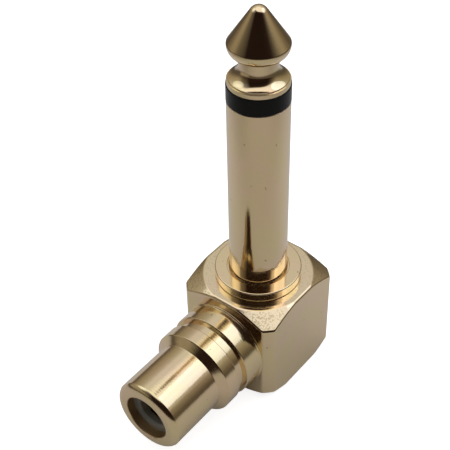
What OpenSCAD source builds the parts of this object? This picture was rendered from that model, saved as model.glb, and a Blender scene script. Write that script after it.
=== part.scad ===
// Right-angle adapter: a 6.35 mm two-pole jack plug on a square elbow block,
// with a phono socket leaving the block's front face.
// Millimetres. The plug's axis is +Z through the origin, the base is at z = 0
// and the socket points along -Y.

/* [Block] */
// Width of the square block across its flats
block_w = 12.4; // [11.8:0.1:14]
// Height of the block, from its flat base to its flat top
block_h = 12.5; // [12.1:0.1:16]
// Diameter that the four upright corners are turned to
corner_d = 16.2; // [15.4:0.1:16.6]
// Diameter of the flat land on top, inside the turned bevel
top_land_d = 12.25; // [11.6:0.05:12.35]
// Diameter of the flat land underneath
base_land_d = 13.1; // [11.6:0.1:14]
// Slope of both turned bevels, in degrees from level
bevel_angle = 34; // [25:1:42]

/* [Access cap] */
// Diameter of the pressed cap that closes the cavity
cap_d = 6.8; // [6:0.1:9]
// Thickness of the cap
cap_t = 1; // [0.6:0.1:1.6]
// Bevel round the cap's lower edge
cap_bevel = 0.25; // [0.1:0.05:0.5]

/* [Plug collar] */
// Outside diameter of the collar at the plug's foot
collar_d = 9.6; // [8.4:0.1:11]
// Height of the collar
collar_h = 1.1; // [0.7:0.1:2]
// Round on the collar's two outer edges
collar_round = 0.14; // [0.06:0.02:0.3]
// Width of the relief between the collar and the sleeve
relief_w = 0.27; // [0.1:0.01:0.5]
// Depth of that relief
relief_h = 0.4; // [0.2:0.05:0.6]

/* [Plug sleeve] */
// Outside diameter of the plug
sleeve_d = 6.35; // [6:0.05:6.7]
// Length of the sleeve above the collar
sleeve_l = 22; // [18:0.1:26]
// Width of the step from the sleeve down to its spigot
sleeve_step_w = 0.4; // [0.3:0.05:0.5]
// Width of the bevel at the sleeve's foot, inside the collar's relief
sleeve_bevel_w = 0.25; // [0.1:0.05:0.28]
// Height of that bevel
sleeve_bevel_h = 0.45; // [0.2:0.05:0.6]
// How deep the spigot is pressed into the block
sleeve_seat = 3; // [2:0.1:3.4]
// Width of the ledge in the block that the spigot stands on
ledge_w = 0.2; // [0.1:0.05:0.3]
// Bore of the sleeve
sleeve_bore_d = 4.4; // [3.8:0.1:4.7]

/* [Plug insulators] */
// Height of the black ring between the sleeve and the tip
band_h = 1.9; // [1.2:0.1:3]
// How far the black ring stands proud of the sleeve
band_proud = 0.02; // [0:0.01:0.05]
// Length of the black ring's spigot inside the sleeve
band_spigot_l = 3; // [1.5:0.1:5]
// Length of the rear bush's spigot inside the sleeve
bush_spigot_l = 2; // [1:0.1:4]
// Thickness of the rear bush's flange
bush_flange_t = 0.6; // [0.4:0.05:0.8]
// Gap between the rear bush's flange and the cavity wall
bush_gap = 0.1; // [0.05:0.05:0.15]

/* [Plug tip] */
// Diameter of the rod that carries the tip
rod_d = 2.2; // [1.8:0.1:2.6]
// How deep the rod is pressed into the tip
rod_grip_l = 4.5; // [3.5:0.1:5.5]
// How far the tip's foot stands inside the sleeve's surface
foot_step = 0.055; // [0.02:0.005:0.2]
// Height of the straight band at the tip's foot
foot_h = 0.57; // [0.4:0.01:1]
// Radius of the hollow that is turned from that band up to the neck
hollow_r = 1.85; // [1.6:0.05:2.4]
// Diameter of the neck
neck_d = 3.92; // [3.2:0.02:4.4]
// Length of the straight neck above the hollow
neck_l = 0.74; // [0.4:0.02:1.2]
// How far the head's widest part stands inside the sleeve's surface
head_step = 0.11; // [0.02:0.01:0.3]
// Height of the rounded underside of the head
under_h = 1.25; // [0.8:0.05:1.6]
// Round on the head's widest edge
head_round = 0.3; // [0.1:0.05:0.6]
// Height of the cone above the head's widest part
cone_h = 3.88; // [3.2:0.02:5]
// Radius of the rounded end of the cone
point_r = 1; // [0.5:0.05:1.2]

/* [Rod end] */
// Diameter of the staked washer on the rod
stake_d = 3.8; // [3.2:0.1:4.4]
// Thickness of the staked washer
stake_t = 0.5; // [0.3:0.05:0.6]
// Diameter of the rod's solder pin
pin_d = 1; // [0.7:0.05:1.1]
// How far the solder pin reaches past the contact's axis
pin_reach = 1.4; // [1.1:0.1:2.5]

/* [Socket shell] */
// Height of the socket's axis above the base
socket_h = 6.1; // [5.5:0.1:6.7]
// Reach of the socket from the block's front face
socket_l = 13.25; // [12:0.05:16]
// Diameter of the root next to the block
root_d = 10.3; // [9.6:0.1:11]
// Length of the root
root_l = 2.5; // [1.8:0.1:3.5]
// Diameter at the bottom of the groove
groove_d = 9.4; // [8.8:0.1:9.8]
// Width of the groove
groove_w = 1.22; // [0.6:0.02:1.6]
// Diameter of the stop ring
ring_d = 10.1; // [10:0.1:11]
// Length of the stop ring
ring_l = 1.82; // [1.2:0.02:2.6]
// Length of the taper from the stop ring down to the barrel
taper_l = 0.66; // [0.3:0.02:1.2]
// Outside diameter of the barrel that the mating plug grips
barrel_d = 8.3; // [8:0.05:8.5]
// Round on the outside of the mouth
mouth_round = 0.65; // [0.3:0.05:1]
// Bore of the shell at the mouth
mouth_d = 5.3; // [5:0.05:5.8]
// Small round on the inside of the mouth
lip_round = 0.12; // [0.05:0.01:0.3]
// Diameter of the spigot pressed into the block
spigot_d = 7.4; // [7:0.1:7.8]
// Length of that spigot
spigot_l = 2.6; // [2:0.1:2.8]
// Diameter of the counterbore at the shell's rear
counter_d = 6.2; // [6:0.1:6.6]
// How far the counterbore runs in past the block's front face
counter_l = 1; // [0.6:0.1:1.6]
// Bevel on the shell's turned edges
edge = 0.08; // [0.04:0.01:0.12]

/* [Socket insulators] */
// How far the front insulator's face sits inside the mouth
face_recess = 0.95; // [0.6:0.05:2]
// Thickness of the front insulator's rear flange
flange_t = 1.2; // [0.8:0.1:1.4]
// Thickness of the lip in front of the contact
lip_t = 0.85; // [0.3:0.05:1.2]
// Diameter of the hole through that lip
lip_hole_d = 3.6; // [3.4:0.05:3.8]
// Bevel that leads the mating pin into the lip
lead_in = 0.25; // [0.1:0.05:0.35]

/* [Socket contact] */
// Bore of the contact, for the mating plug's pin
contact_bore_d = 3.2; // [3:0.05:3.3]
// Depth of that bore
contact_bore_l = 9.6; // [8:0.1:9.8]
// Wall of the contact's spring fingers
finger_t = 0.4; // [0.3:0.05:0.45]
// Gap around the fingers, so that they can spread
finger_gap = 0.1; // [0.05:0.05:0.15]
// Number of slots between the fingers
slot_count = 4; // [2:1:6]
// Width of each slot
slot_w = 0.4; // [0.25:0.05:0.5]
// Length of each slot
slot_l = 6; // [4:0.1:7]
// Diameter of the contact's flange
contact_flange_d = 5.2; // [4.9:0.1:5.5]
// Thickness of the contact's flange
contact_flange_t = 0.8; // [0.5:0.1:1]
// Diameter of the contact's tail
tail_d = 2; // [1.8:0.1:2.4]
// How far the tail reaches past the plug's axis
tail_reach = 0.95; // [0.8:0.05:1.4]
// Gap between the solder pin and each side of the tail's slot
saddle_gap = 0.05; // [0.03:0.01:0.1]
// Thickness of the solder over the tail
solder_t = 0.3; // [0.15:0.05:0.35]

/* [Hidden] */

// Faces round a full turn, and along a quarter turn of a profile
$fn = 96;
quarter_steps = 8;
// Cutters run past the faces that they open by this much
cut = 0.5;

// Finishes
gold_plate = [0.80, 0.70, 0.48];
black_plastic = [0.05, 0.05, 0.05];
grey_plastic = [0.45, 0.45, 0.44];
white_plastic = [0.86, 0.85, 0.82];
bare_brass = [0.71, 0.60, 0.33];
tin_lead = [0.66, 0.67, 0.68];

// Heights above the base
cavity_z = cap_t;
seat_z = block_h - sleeve_seat;
collar_z = block_h;
collar_top_z = collar_z + collar_h;
rest_z = collar_top_z - relief_h;
band_z = collar_top_z + sleeve_l;
tip_z = band_z + band_h;
hollow_z = tip_z + foot_h;
bush_z = seat_z - bush_flange_t;
stake_z = bush_z - stake_t;
tube_z = seat_z + bush_spigot_l;
tube_l = band_z - band_spigot_l - tube_z;
pin_z = socket_h - pin_reach;

// Sleeve's spigot, and the wiring cavity under it
sleeve_spigot_d = sleeve_d - 2 * sleeve_step_w;
cavity_d = sleeve_spigot_d - 2 * ledge_w;

// Radii of the plug
sleeve_r = sleeve_d / 2;
sleeve_spigot_r = sleeve_spigot_d / 2;
foot_r = sleeve_r - foot_step;
head_r = sleeve_r - head_step;
neck_r = neck_d / 2;

// Middle of the hollow's round, and the tip's heights above it
hollow_mid_r = neck_r + hollow_r;
hollow_h = sqrt(hollow_r ^ 2 - (hollow_mid_r - foot_r) ^ 2);
neck_z = hollow_z + hollow_h;
widest_z = neck_z + neck_l + under_h;
point_z = widest_z + cone_h;

// Distances out from the block's front face, negative inside the block
ring_d0 = root_l + groove_w;
ring_d1 = ring_d0 + ring_l;
taper_d1 = ring_d1 + taper_l;
face_d = socket_l - face_recess;
finger_d = face_d - lip_t;
bore_end_d = finger_d - contact_bore_l;
split_d = counter_l - flange_t;
flange_back_d = split_d - contact_flange_t;
tail_end_d = -(block_w / 2 + tail_reach);
axis_d = -block_w / 2;

// Radii of the socket
contact_bore_r = contact_bore_d / 2;
finger_r = contact_bore_r + finger_t;
contact_r = finger_r + finger_gap;
tail_r = tail_d / 2;
saddle_w = pin_d + 2 * saddle_gap;

// Points of an arc about [cx, cy], from angle a0 to angle a1
function arc(cx, cy, rx, ry, a0, a1) =
    [for (i = [0 : quarter_steps])
        let (a = a0 + (a1 - a0) * i / quarter_steps) [cx + rx * cos(a), cy + ry * sin(a)]];

// Angle at which a line from [pr, pz] touches the circle of radius r about [0, cz]. With pz
// in the middle of a round and r less by that round's radius, the line touches both rounds.
function touch_angle(pr, pz, cz, r) =
    let (away = norm([pr, pz - cz])) atan2(pz - cz, pr) + acos(r / away);

// A turned piece about +Z, from half of its section
module turned(profile) {
    rotate_extrude() polygon(profile);
}

// A plain ring or tube standing on z
module tube(outer_d, inner_d, z, height) {
    translate([0, 0, z])
        difference() {
            cylinder(d = outer_d, h = height);
            translate([0, 0, -cut]) cylinder(d = inner_d, h = height + 2 * cut);
        }
}

// Puts children on the socket's axis, with their +Z pointing out of the block
module on_socket() {
    translate([0, -block_w / 2, socket_h]) rotate([90, 0, 0]) children();
}

// The square bar, its corners turned round and both ends turned to a cone
module block_blank() {
    corner_r = corner_d / 2;
    top_drop = (corner_r - top_land_d / 2) * tan(bevel_angle);
    base_rise = (corner_r - base_land_d / 2) * tan(bevel_angle);
    intersection() {
        translate([-block_w / 2, -block_w / 2, 0]) cube([block_w, block_w, block_h]);
        turned([
            [0, 0], [base_land_d / 2, 0], [corner_r, base_rise],
            [corner_r, block_h - top_drop], [top_land_d / 2, block_h], [0, block_h]
        ]);
    }
}

module elbow_body() {
    color(gold_plate)
        difference() {
            block_blank();
            // Seat of the cap
            translate([0, 0, -cut]) cylinder(d = cap_d, h = cavity_z + cut);
            // Wiring cavity
            translate([0, 0, cavity_z - cut])
                cylinder(d = cavity_d, h = seat_z - cavity_z + 2 * cut);
            // Seat of the sleeve's spigot
            translate([0, 0, seat_z]) cylinder(d = sleeve_spigot_d, h = sleeve_seat + cut);
            // Seat of the socket's spigot, and the way through to the cavity
            on_socket() {
                translate([0, 0, -spigot_l]) cylinder(d = spigot_d, h = spigot_l + cut);
                translate([0, 0, axis_d]) cylinder(d = cavity_d, h = block_w / 2);
            }
        }
}

module access_cap() {
    r = cap_d / 2;
    color(gold_plate)
        turned([
            [0, 0], [r - cap_bevel, 0], [r, cap_bevel], [r, cap_t], [0, cap_t]
        ]);
}

// Ring held between the block and the sleeve, whose step sits in its relief
module plug_collar() {
    edge_r = collar_d / 2 - collar_round;
    relief_r = sleeve_r + relief_w;
    color(gold_plate)
        turned(concat(
            [[sleeve_spigot_r, collar_z]],
            arc(edge_r, collar_z + collar_round, collar_round, collar_round, -90, 0),
            arc(edge_r, collar_top_z - collar_round, collar_round, collar_round, 0, 90),
            [[relief_r, collar_top_z], [relief_r, rest_z], [sleeve_spigot_r, rest_z]]
        ));
}

// Barrel of the plug, which steps down to its pressed spigot
module plug_sleeve() {
    bore_r = sleeve_bore_d / 2;
    color(gold_plate)
        turned([
            [bore_r, seat_z], [sleeve_spigot_r, seat_z], [sleeve_spigot_r, rest_z],
            [sleeve_r - sleeve_bevel_w, rest_z], [sleeve_r, rest_z + sleeve_bevel_h],
            [sleeve_r, band_z], [bore_r, band_z]
        ]);
}

// Black ring that parts the tip from the sleeve, with its spigot inside the sleeve
module tip_insulator() {
    spigot_z = band_z - band_spigot_l;
    band_r = sleeve_r + band_proud;
    color(black_plastic)
        turned([
            [rod_d / 2, spigot_z], [sleeve_bore_d / 2, spigot_z], [sleeve_bore_d / 2, band_z],
            [band_r, band_z], [band_r, tip_z], [rod_d / 2, tip_z]
        ]);
}

module core_tube() {
    color(white_plastic) tube(sleeve_bore_d, rod_d, tube_z, tube_l);
}

module rear_bush() {
    flange_r = cavity_d / 2 - bush_gap;
    color(white_plastic)
        turned([
            [rod_d / 2, bush_z], [flange_r, bush_z], [flange_r, seat_z],
            [sleeve_bore_d / 2, seat_z], [sleeve_bore_d / 2, tube_z], [rod_d / 2, tube_z]
        ]);
}

// Turned tip: foot band, hollow, neck, head with a rounded underside, and rounded cone.
// The underside stops one step short of the widest edge, where the next round begins.
module plug_tip() {
    round_r = head_r - head_round;
    ball_z = point_z - point_r;
    meet = touch_angle(round_r, widest_z, ball_z, point_r - head_round);
    color(gold_plate)
        difference() {
            turned(concat(
                [[0, tip_z], [foot_r, tip_z]],
                arc(hollow_mid_r, neck_z, hollow_r, hollow_r, 180 + asin(hollow_h / hollow_r), 180),
                arc(neck_r, widest_z, head_r - neck_r, under_h, -90, -90 / quarter_steps),
                arc(round_r, widest_z, head_round, head_round, 0, meet),
                arc(0, ball_z, point_r, point_r, meet, 90)
            ));
            translate([0, 0, tip_z - cut]) cylinder(d = rod_d, h = rod_grip_l + cut);
        }
}

// Rod from the tip down through the plug, ending in a solder pin
module rod_blank() {
    translate([0, 0, stake_z]) cylinder(d = rod_d, h = tip_z + rod_grip_l - stake_z);
    translate([0, 0, pin_z]) cylinder(d = pin_d, h = stake_z - pin_z + cut);
}

module tip_rod() {
    color(bare_brass) rod_blank();
}

module stake_washer() {
    color(bare_brass) tube(stake_d, rod_d, stake_z, stake_t);
}

// Turned shell: spigot, root, groove, stop ring, taper and barrel with a rounded mouth
module socket_shell() {
    spigot_r = spigot_d / 2;
    root_r = root_d / 2;
    ring_r = ring_d / 2;
    barrel_r = barrel_d / 2;
    mouth_r = mouth_d / 2;
    counter_r = counter_d / 2;
    color(gold_plate)
        on_socket()
            turned(concat(
                [[counter_r, -spigot_l], [spigot_r - edge, -spigot_l],
                 [spigot_r, edge - spigot_l], [spigot_r, 0],
                 [root_r, 0], [root_r, root_l - edge], [root_r - edge, root_l],
                 [groove_d / 2, root_l], [groove_d / 2, ring_d0],
                 [ring_r - edge, ring_d0], [ring_r, ring_d0 + edge],
                 [ring_r, ring_d1 - edge], [ring_r - edge, ring_d1], [barrel_r, taper_d1]],
                arc(barrel_r - mouth_round, socket_l - mouth_round, mouth_round, mouth_round, 0, 90),
                arc(mouth_r + lip_round, socket_l - lip_round, lip_round, lip_round, 90, 180),
                [[mouth_r, counter_l], [counter_r, counter_l]]
            ));
}

// Moulded sleeve round the contact, with a flange trapped in the counterbore
module front_insulator() {
    lip_r = lip_hole_d / 2;
    color(grey_plastic)
        on_socket()
            turned([
                [contact_r, split_d], [counter_d / 2, split_d], [counter_d / 2, counter_l],
                [mouth_d / 2, counter_l], [mouth_d / 2, face_d],
                [lip_r + lead_in, face_d], [lip_r, face_d - lead_in],
                [lip_r, finger_d], [contact_r, finger_d]
            ]);
}

// Bush behind the contact's flange, which it traps against the front insulator
module rear_insulator() {
    flange_r = contact_flange_d / 2;
    color(white_plastic)
        on_socket()
            turned([
                [tail_r, -spigot_l], [counter_d / 2, -spigot_l], [counter_d / 2, split_d],
                [flange_r, split_d], [flange_r, flange_back_d], [tail_r, flange_back_d]
            ]);
}

// Solder tail: a round pin with a slot across its end
module contact_tail() {
    saddle_l = tail_reach + pin_d / 2 + saddle_gap;
    difference() {
        translate([0, 0, tail_end_d]) cylinder(d = tail_d, h = flange_back_d - tail_end_d + cut);
        translate([-saddle_w / 2, -tail_d, tail_end_d - cut])
            cube([saddle_w, 2 * tail_d, saddle_l + cut]);
    }
}

// Socket for the mating pin: slotted spring fingers, flange and solder tail in one piece
module socket_contact() {
    root_end_d = finger_d - slot_l - slot_w;
    entry = finger_t / 2;
    color(gold_plate)
        on_socket() {
            difference() {
                turned([
                    [0, flange_back_d], [contact_flange_d / 2, flange_back_d],
                    [contact_flange_d / 2, split_d], [contact_r, split_d],
                    [contact_r, root_end_d], [finger_r, root_end_d + finger_gap],
                    [finger_r, finger_d - entry], [finger_r - entry, finger_d],
                    [contact_bore_r, finger_d], [contact_bore_r, bore_end_d],
                    [0, bore_end_d - contact_bore_r / 2]
                ]);
                for (i = [0 : slot_count - 1])
                    rotate(i * 360 / slot_count)
                        translate([0, -slot_w / 2, finger_d - slot_l])
                            cube([contact_r + cut, slot_w, slot_l + cut]);
            }
            contact_tail();
        }
}

// Bead of solder that joins the rod's pin to the contact's tail
module solder_joint() {
    color(tin_lead)
        difference() {
            translate([0, 0, socket_h]) sphere(r = tail_r + solder_t);
            on_socket() contact_tail();
            rod_blank();
        }
}

elbow_body();
access_cap();
plug_collar();
plug_sleeve();
tip_insulator();
core_tube();
rear_bush();
plug_tip();
tip_rod();
stake_washer();
socket_shell();
front_insulator();
rear_insulator();
socket_contact();
solder_joint();
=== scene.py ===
"""Right-angle jack plug to phono socket adapter of gold-plated brass, on a plain pale floor."""

import math

import bmesh
import bpy
from mathutils import Matrix, Vector


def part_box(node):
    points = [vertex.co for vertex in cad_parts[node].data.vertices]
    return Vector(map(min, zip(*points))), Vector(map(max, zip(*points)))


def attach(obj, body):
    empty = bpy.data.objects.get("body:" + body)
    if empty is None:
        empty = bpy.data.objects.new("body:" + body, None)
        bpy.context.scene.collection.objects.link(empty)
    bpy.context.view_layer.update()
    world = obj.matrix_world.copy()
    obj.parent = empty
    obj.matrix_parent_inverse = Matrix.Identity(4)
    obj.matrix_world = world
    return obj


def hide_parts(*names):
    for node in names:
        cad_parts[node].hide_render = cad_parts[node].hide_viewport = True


MM = 0.001

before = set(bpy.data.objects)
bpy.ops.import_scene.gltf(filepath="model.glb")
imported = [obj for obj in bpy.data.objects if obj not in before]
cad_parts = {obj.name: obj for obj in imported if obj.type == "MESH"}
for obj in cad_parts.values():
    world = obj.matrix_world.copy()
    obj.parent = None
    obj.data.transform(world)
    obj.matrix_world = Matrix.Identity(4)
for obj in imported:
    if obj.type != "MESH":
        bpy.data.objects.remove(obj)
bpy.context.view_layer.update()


def box_mm(node):
    """Lowest and highest corner of a CAD node, in millimetres."""
    low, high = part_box(node)
    return low / MM, high / MM


def plain_object(name, data):
    """A linked object at the origin with that mesh, or with a camera's or a lamp's data."""
    obj = bpy.data.objects.new(name, data)
    bpy.context.scene.collection.objects.link(obj)
    return obj


# Camera

# Bearing and height of the camera seen from the part, and its roll, in degrees
CAMERA_AZIMUTH = 39.427
CAMERA_ELEVATION = 41.632
CAMERA_ROLL = -1.542
# Distance to the point looked at, and that point's place: along the picture's
# width and above the base, in millimetres
CAMERA_DISTANCE = 107.599
LOOK_ACROSS = -3.553
LOOK_HEIGHT = 19.312
# Focal length in the photograph's pixels, and the photograph's width in pixels
FOCAL_PIXELS = 1007.055
FRAME_PIXELS = 450
SENSOR_MM = 36
# Nearest and farthest that the camera sees, in metres
CLIP_NEAR = 0.005
CLIP_FAR = 20


def make_camera():
    """Stands the camera where the photograph was taken from."""
    azimuth, elevation, roll = map(math.radians, (CAMERA_AZIMUTH, CAMERA_ELEVATION, CAMERA_ROLL))
    back = Vector((math.sin(azimuth) * math.cos(elevation),
                   -math.cos(azimuth) * math.cos(elevation), math.sin(elevation)))
    level = Vector((math.cos(azimuth), math.sin(azimuth), 0))
    rise = back.cross(level)
    right = level * math.cos(roll) + rise * math.sin(roll)
    up = back.cross(right)
    place = (right * LOOK_ACROSS + Vector((0, 0, LOOK_HEIGHT)) + back * CAMERA_DISTANCE) * MM

    data = bpy.data.cameras.new("camera")
    data.sensor_width = SENSOR_MM
    data.lens = FOCAL_PIXELS * SENSOR_MM / FRAME_PIXELS
    data.clip_start, data.clip_end = CLIP_NEAR, CLIP_FAR
    camera = plain_object("camera", data)
    camera.matrix_world = Matrix((right, up, back)).transposed().to_4x4()
    camera.location = place
    bpy.context.scene.camera = camera


make_camera()


# Colours and nodes

def hex_colour(code):
    """Linear RGBA of an sRGB hex colour such as '#C0A080'."""
    values = [int(code[i:i + 2], 16) / 255 for i in (1, 3, 5)]
    return tuple(c / 12.92 if c <= 0.04045 else ((c + 0.055) / 1.055) ** 2.4
                 for c in values) + (1.0,)


def add(tree, kind, sockets=None, stops=(), **settings):
    """Adds one node. sockets gives an input its value, or the output that feeds it, where a
    node stands for its first output. stops gives a colour ramp its places and colours."""
    node = tree.nodes.new(kind)
    for name, value in settings.items():
        setattr(node, name, value)
    for i, (place, colour) in enumerate(stops):
        stop = node.color_ramp.elements[i] if i < 2 else node.color_ramp.elements.new(place)
        stop.position, stop.color = place, colour
    for name, value in (sockets or {}).items():
        if isinstance(value, bpy.types.Node):
            value = value.outputs[0]
        if isinstance(value, bpy.types.NodeSocket):
            tree.links.new(value, node.inputs[name])
        else:
            node.inputs[name].default_value = value
    return node


def new_material(name):
    """An empty material and its node tree."""
    material = bpy.data.materials.new(name)
    material.use_nodes = True
    material.node_tree.nodes.clear()
    return material, material.node_tree


# Turned pieces

# Small round on a turned edge, and on a moulded one, in millimetres
TURNED_EDGE = 0.05
MOULDED_EDGE = 0.08
# Points along such a small round, and along a large one
EDGE_STEPS = 5
CURVE_STEPS = 28
# A small round takes up at most this share of the shorter side beside it
ROUND_SHARE = 0.45
# A straight run longer than LONG_RUN has a point KEEP_FLAT from each end, so that
# reflections stay straight on it
LONG_RUN = 0.18
KEEP_FLAT = 0.03
# Faces round a turned piece
STEPS_ROUND = 288
# Two faces that meet at more than this angle keep a sharp edge, in degrees
SHARP_ANGLE = 28
# Radius of the path that a section is swept along
PATH_RADIUS = 1.0
# Points nearer than the first of these are merged, and edges shorter than the second removed
ONE_POINT = 1e-5
NO_EDGE = 1e-6


def arc(centre_r, centre_z, radius_r, radius_z, start, end):
    """Points of a large round in a section, from one angle to another, in degrees."""
    points = []
    for i in range(CURVE_STEPS + 1):
        angle = math.radians(start + (end - start) * i / CURVE_STEPS)
        points.append((centre_r + radius_r * math.cos(angle), centre_z + radius_z * math.sin(angle)))
    return points


def round_corner(before, corner, after, radius):
    """Points of the small round that takes a corner's place."""
    one, two = Vector(before) - Vector(corner), Vector(after) - Vector(corner)
    half = one.angle(two) / 2
    cut = min(radius / math.tan(half), min(one.length, two.length) * ROUND_SHARE)
    centre = Vector(corner) + (one.normalized() + two.normalized()).normalized() * (cut / math.cos(half))
    first = Vector(corner) + one.normalized() * cut - centre
    last = Vector(corner) + two.normalized() * cut - centre
    sweep = math.atan2(first.x * last.y - first.y * last.x, first.dot(last))
    points = []
    for i in range(EDGE_STEPS + 1):
        angle = sweep * i / EDGE_STEPS
        points.append((centre.x + first.x * math.cos(angle) - first.y * math.sin(angle),
                       centre.y + first.x * math.sin(angle) + first.y * math.cos(angle)))
    return points


def soften(section):
    """A section with each corner that has a third value rounded by that radius."""
    points = []
    for i, entry in enumerate(section):
        if len(entry) == 3:
            after = section[(i + 1) % len(section)]
            points += round_corner(section[i - 1][:2], entry[:2], after[:2], entry[2])
        else:
            points.append(entry)
    return points


def keep_flat(points, closed):
    """The section with a point near each end of every long straight run."""
    result = []
    for i, here in enumerate(points):
        result.append(here)
        if i == len(points) - 1 and not closed:
            break
        there = points[(i + 1) % len(points)]
        run = Vector(there) - Vector(here)
        if run.length > LONG_RUN:
            step = run.normalized() * KEEP_FLAT
            result.append((here[0] + step.x, here[1] + step.y))
            result.append((there[0] - step.x, there[1] - step.y))
    return result


def new_tree(name, inputs):
    """A Geometry Nodes tree with those named inputs, and the sockets that give their values."""
    tree = bpy.data.node_groups.new(name, "GeometryNodeTree")
    for label, kind in inputs.items():
        tree.interface.new_socket(label, in_out="INPUT", socket_type="NodeSocket" + kind)
    tree.interface.new_socket("Piece", in_out="OUTPUT", socket_type="NodeSocketGeometry")
    return tree, add(tree, "NodeGroupInput").outputs


def end_tree(tree, piece, material):
    """Ends a tree: its piece comes out as real faces with their material."""
    real = add(tree, "GeometryNodeRealizeInstances", {"Geometry": piece})
    dressed = add(tree, "GeometryNodeSetMaterial", {"Geometry": real, "Material": material})
    add(tree, "NodeGroupOutput", {"Piece": dressed})


def turned_piece_tree():
    """Sweeps a section round the piece's axis. The section's X is the radius less the
    path's, and its Y the height, downwards."""
    tree, given = new_tree("turned_piece", {
        "Section": "Geometry", "Steps round": "Int", "Path radius": "Float", "Material": "Material"})
    section = add(tree, "GeometryNodeMeshToCurve", {"Mesh": given["Section"]})
    path = add(tree, "GeometryNodeCurvePrimitiveCircle",
               {"Resolution": given["Steps round"], "Radius": given["Path radius"]})
    skin = add(tree, "GeometryNodeCurveToMesh", {"Curve": path, "Profile Curve": section})
    closed = add(tree, "GeometryNodeMergeByDistance", {"Geometry": skin, "Distance": ONE_POINT})
    smooth = add(tree, "GeometryNodeSetShadeSmooth", {"Geometry": closed})
    end_tree(tree, smooth, given["Material"])
    return tree


def plain_mesh(name, make_shape, **sizes):
    """A mesh with one of Blender's plain shapes."""
    mesh = bpy.data.meshes.new(name)
    shape = bmesh.new()
    make_shape(shape, **sizes)
    shape.to_mesh(mesh)
    shape.free()
    return mesh


def evaluated_mesh(obj):
    """The plain mesh that an object's modifiers give. The object is removed."""
    graph = bpy.context.evaluated_depsgraph_get()
    mesh = bpy.data.meshes.new_from_object(obj.evaluated_get(graph), depsgraph=graph)
    bpy.data.objects.remove(obj)
    return mesh


def run_tree(name, mesh, tree, values):
    """Runs a Geometry Nodes tree on a mesh, with its named inputs set, and returns the mesh."""
    obj = plain_object(name, mesh)
    modifier = obj.modifiers.new(tree.name, "NODES")
    modifier.node_group = tree
    for item in tree.interface.items_tree:
        if item.in_out == "INPUT" and item.name in values:
            modifier[item.identifier] = values[item.name]
    return evaluated_mesh(obj)


def finish_mesh(mesh, place=None):
    """Makes faces point outwards, keeps sharp edges sharp and puts the mesh in its place."""
    shape = bmesh.new()
    shape.from_mesh(mesh)
    bmesh.ops.remove_doubles(shape, verts=shape.verts, dist=ONE_POINT)
    bmesh.ops.dissolve_degenerate(shape, edges=shape.edges, dist=NO_EDGE)
    bmesh.ops.recalc_face_normals(shape, faces=shape.faces)
    for face in shape.faces:
        face.smooth = True
    shape.to_mesh(mesh)
    shape.free()
    mesh.set_sharp_from_angle(angle=math.radians(SHARP_ANGLE))
    if place is not None:
        mesh.transform(place)
    return mesh


def turned_mesh(name, section, material, closed=True, place=None):
    """Mesh of a turned piece from half of its section, in millimetres. A section that starts
    and ends on the axis isn't closed."""
    points = keep_flat(soften(section), closed)
    mesh = bpy.data.meshes.new(name)
    links = [(i, i + 1) for i in range(len(points) - 1)] + ([(len(points) - 1, 0)] if closed else [])
    mesh.from_pydata([(r - PATH_RADIUS, -z, 0) for r, z in points], links, [])
    mesh = run_tree(name, mesh, TURNED, {
        "Steps round": STEPS_ROUND, "Path radius": PATH_RADIUS, "Material": material})
    return finish_mesh(mesh, place)


def show(name, mesh, material, slot, *nodes):
    """Puts a finished mesh in the scene in the place of its CAD nodes."""
    mesh.transform(Matrix.Scale(MM, 4))
    mesh.materials.clear()
    mesh.materials.append(material)
    obj = plain_object(name, mesh)
    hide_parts(*nodes)
    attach(obj, "root")


TURNED = turned_piece_tree()


# Materials

# Turning marks: a lathe leaves one every 0.05 to 0.1 mm, too fine to show, so they are
# drawn this far apart. A wave texture repeats every 0.314 of a unit at a scale of 1.
MARK_PITCH = 0.3
WAVE_UNIT = math.tau / 20
# Size of the soft swells in the plating, on the plug and the block, and on the socket
SWELL = 0.9
SOCKET_SWELL = 0.4
# Plating and moulded skins have a grain of a few hundredths of a millimetre, too fine to
# show, so it is drawn this coarse. In the plate it is this many times shallower than the swells.
GRAIN = 0.22
GRAIN_SHALLOWER = 6
# Size of the patches of colour on the plate, and how much rougher or smoother they are. On
# bare metal they are half that size.
PATCH = 3.5
PATCH_GLOSS = 0.025
# Size of the cloudy patches in plastic, and the depth of its grain in metres
CLOUD = 0.9
MOULD_GRAIN = 1.5e-6
# Spacing of the few specks
SPECK = 0.45
# Size of the small pits that the blank's turned ends keep under their plating, their depth
# in metres, and how much rougher they are
PIT = 0.26
PIT_DEPTH = 2.2e-6
PIT_DULL = 0.12
# Slope of the block's cones, in degrees, and how upright their faces' normals are
CONE_ANGLE = 34
CONE_UPRIGHT = math.cos(math.radians(CONE_ANGLE))
# How upright a face's normal is, and the share of the pits left there: hardly any on the
# sides and the polished edges, all on the cones and fewer on the flat ends
PITS_LEFT = ((0.0, 0.03), (CONE_UPRIGHT - 0.03, 0.05), (CONE_UPRIGHT - 0.008, 1.0),
             (CONE_UPRIGHT + 0.008, 1.0), (CONE_UPRIGHT + 0.03, 0.05), (0.99, 0.05), (0.999, 0.45))
# Height of the socket's axis, the radii between which its bore, painted browner as shade,
# turns into its polished mouth, and how much rougher the bore is
SOCKET_H = 6.1
BORE_FROM = 2.66
BORE_TO = 2.74
BORE_DULL = 0.3


def in_millimetres(tree):
    """Object coordinates in millimetres."""
    place = add(tree, "ShaderNodeTexCoord").outputs["Object"]
    return add(tree, "ShaderNodeVectorMath", {0: place, "Scale": 1 / MM}, operation="SCALE")


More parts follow.
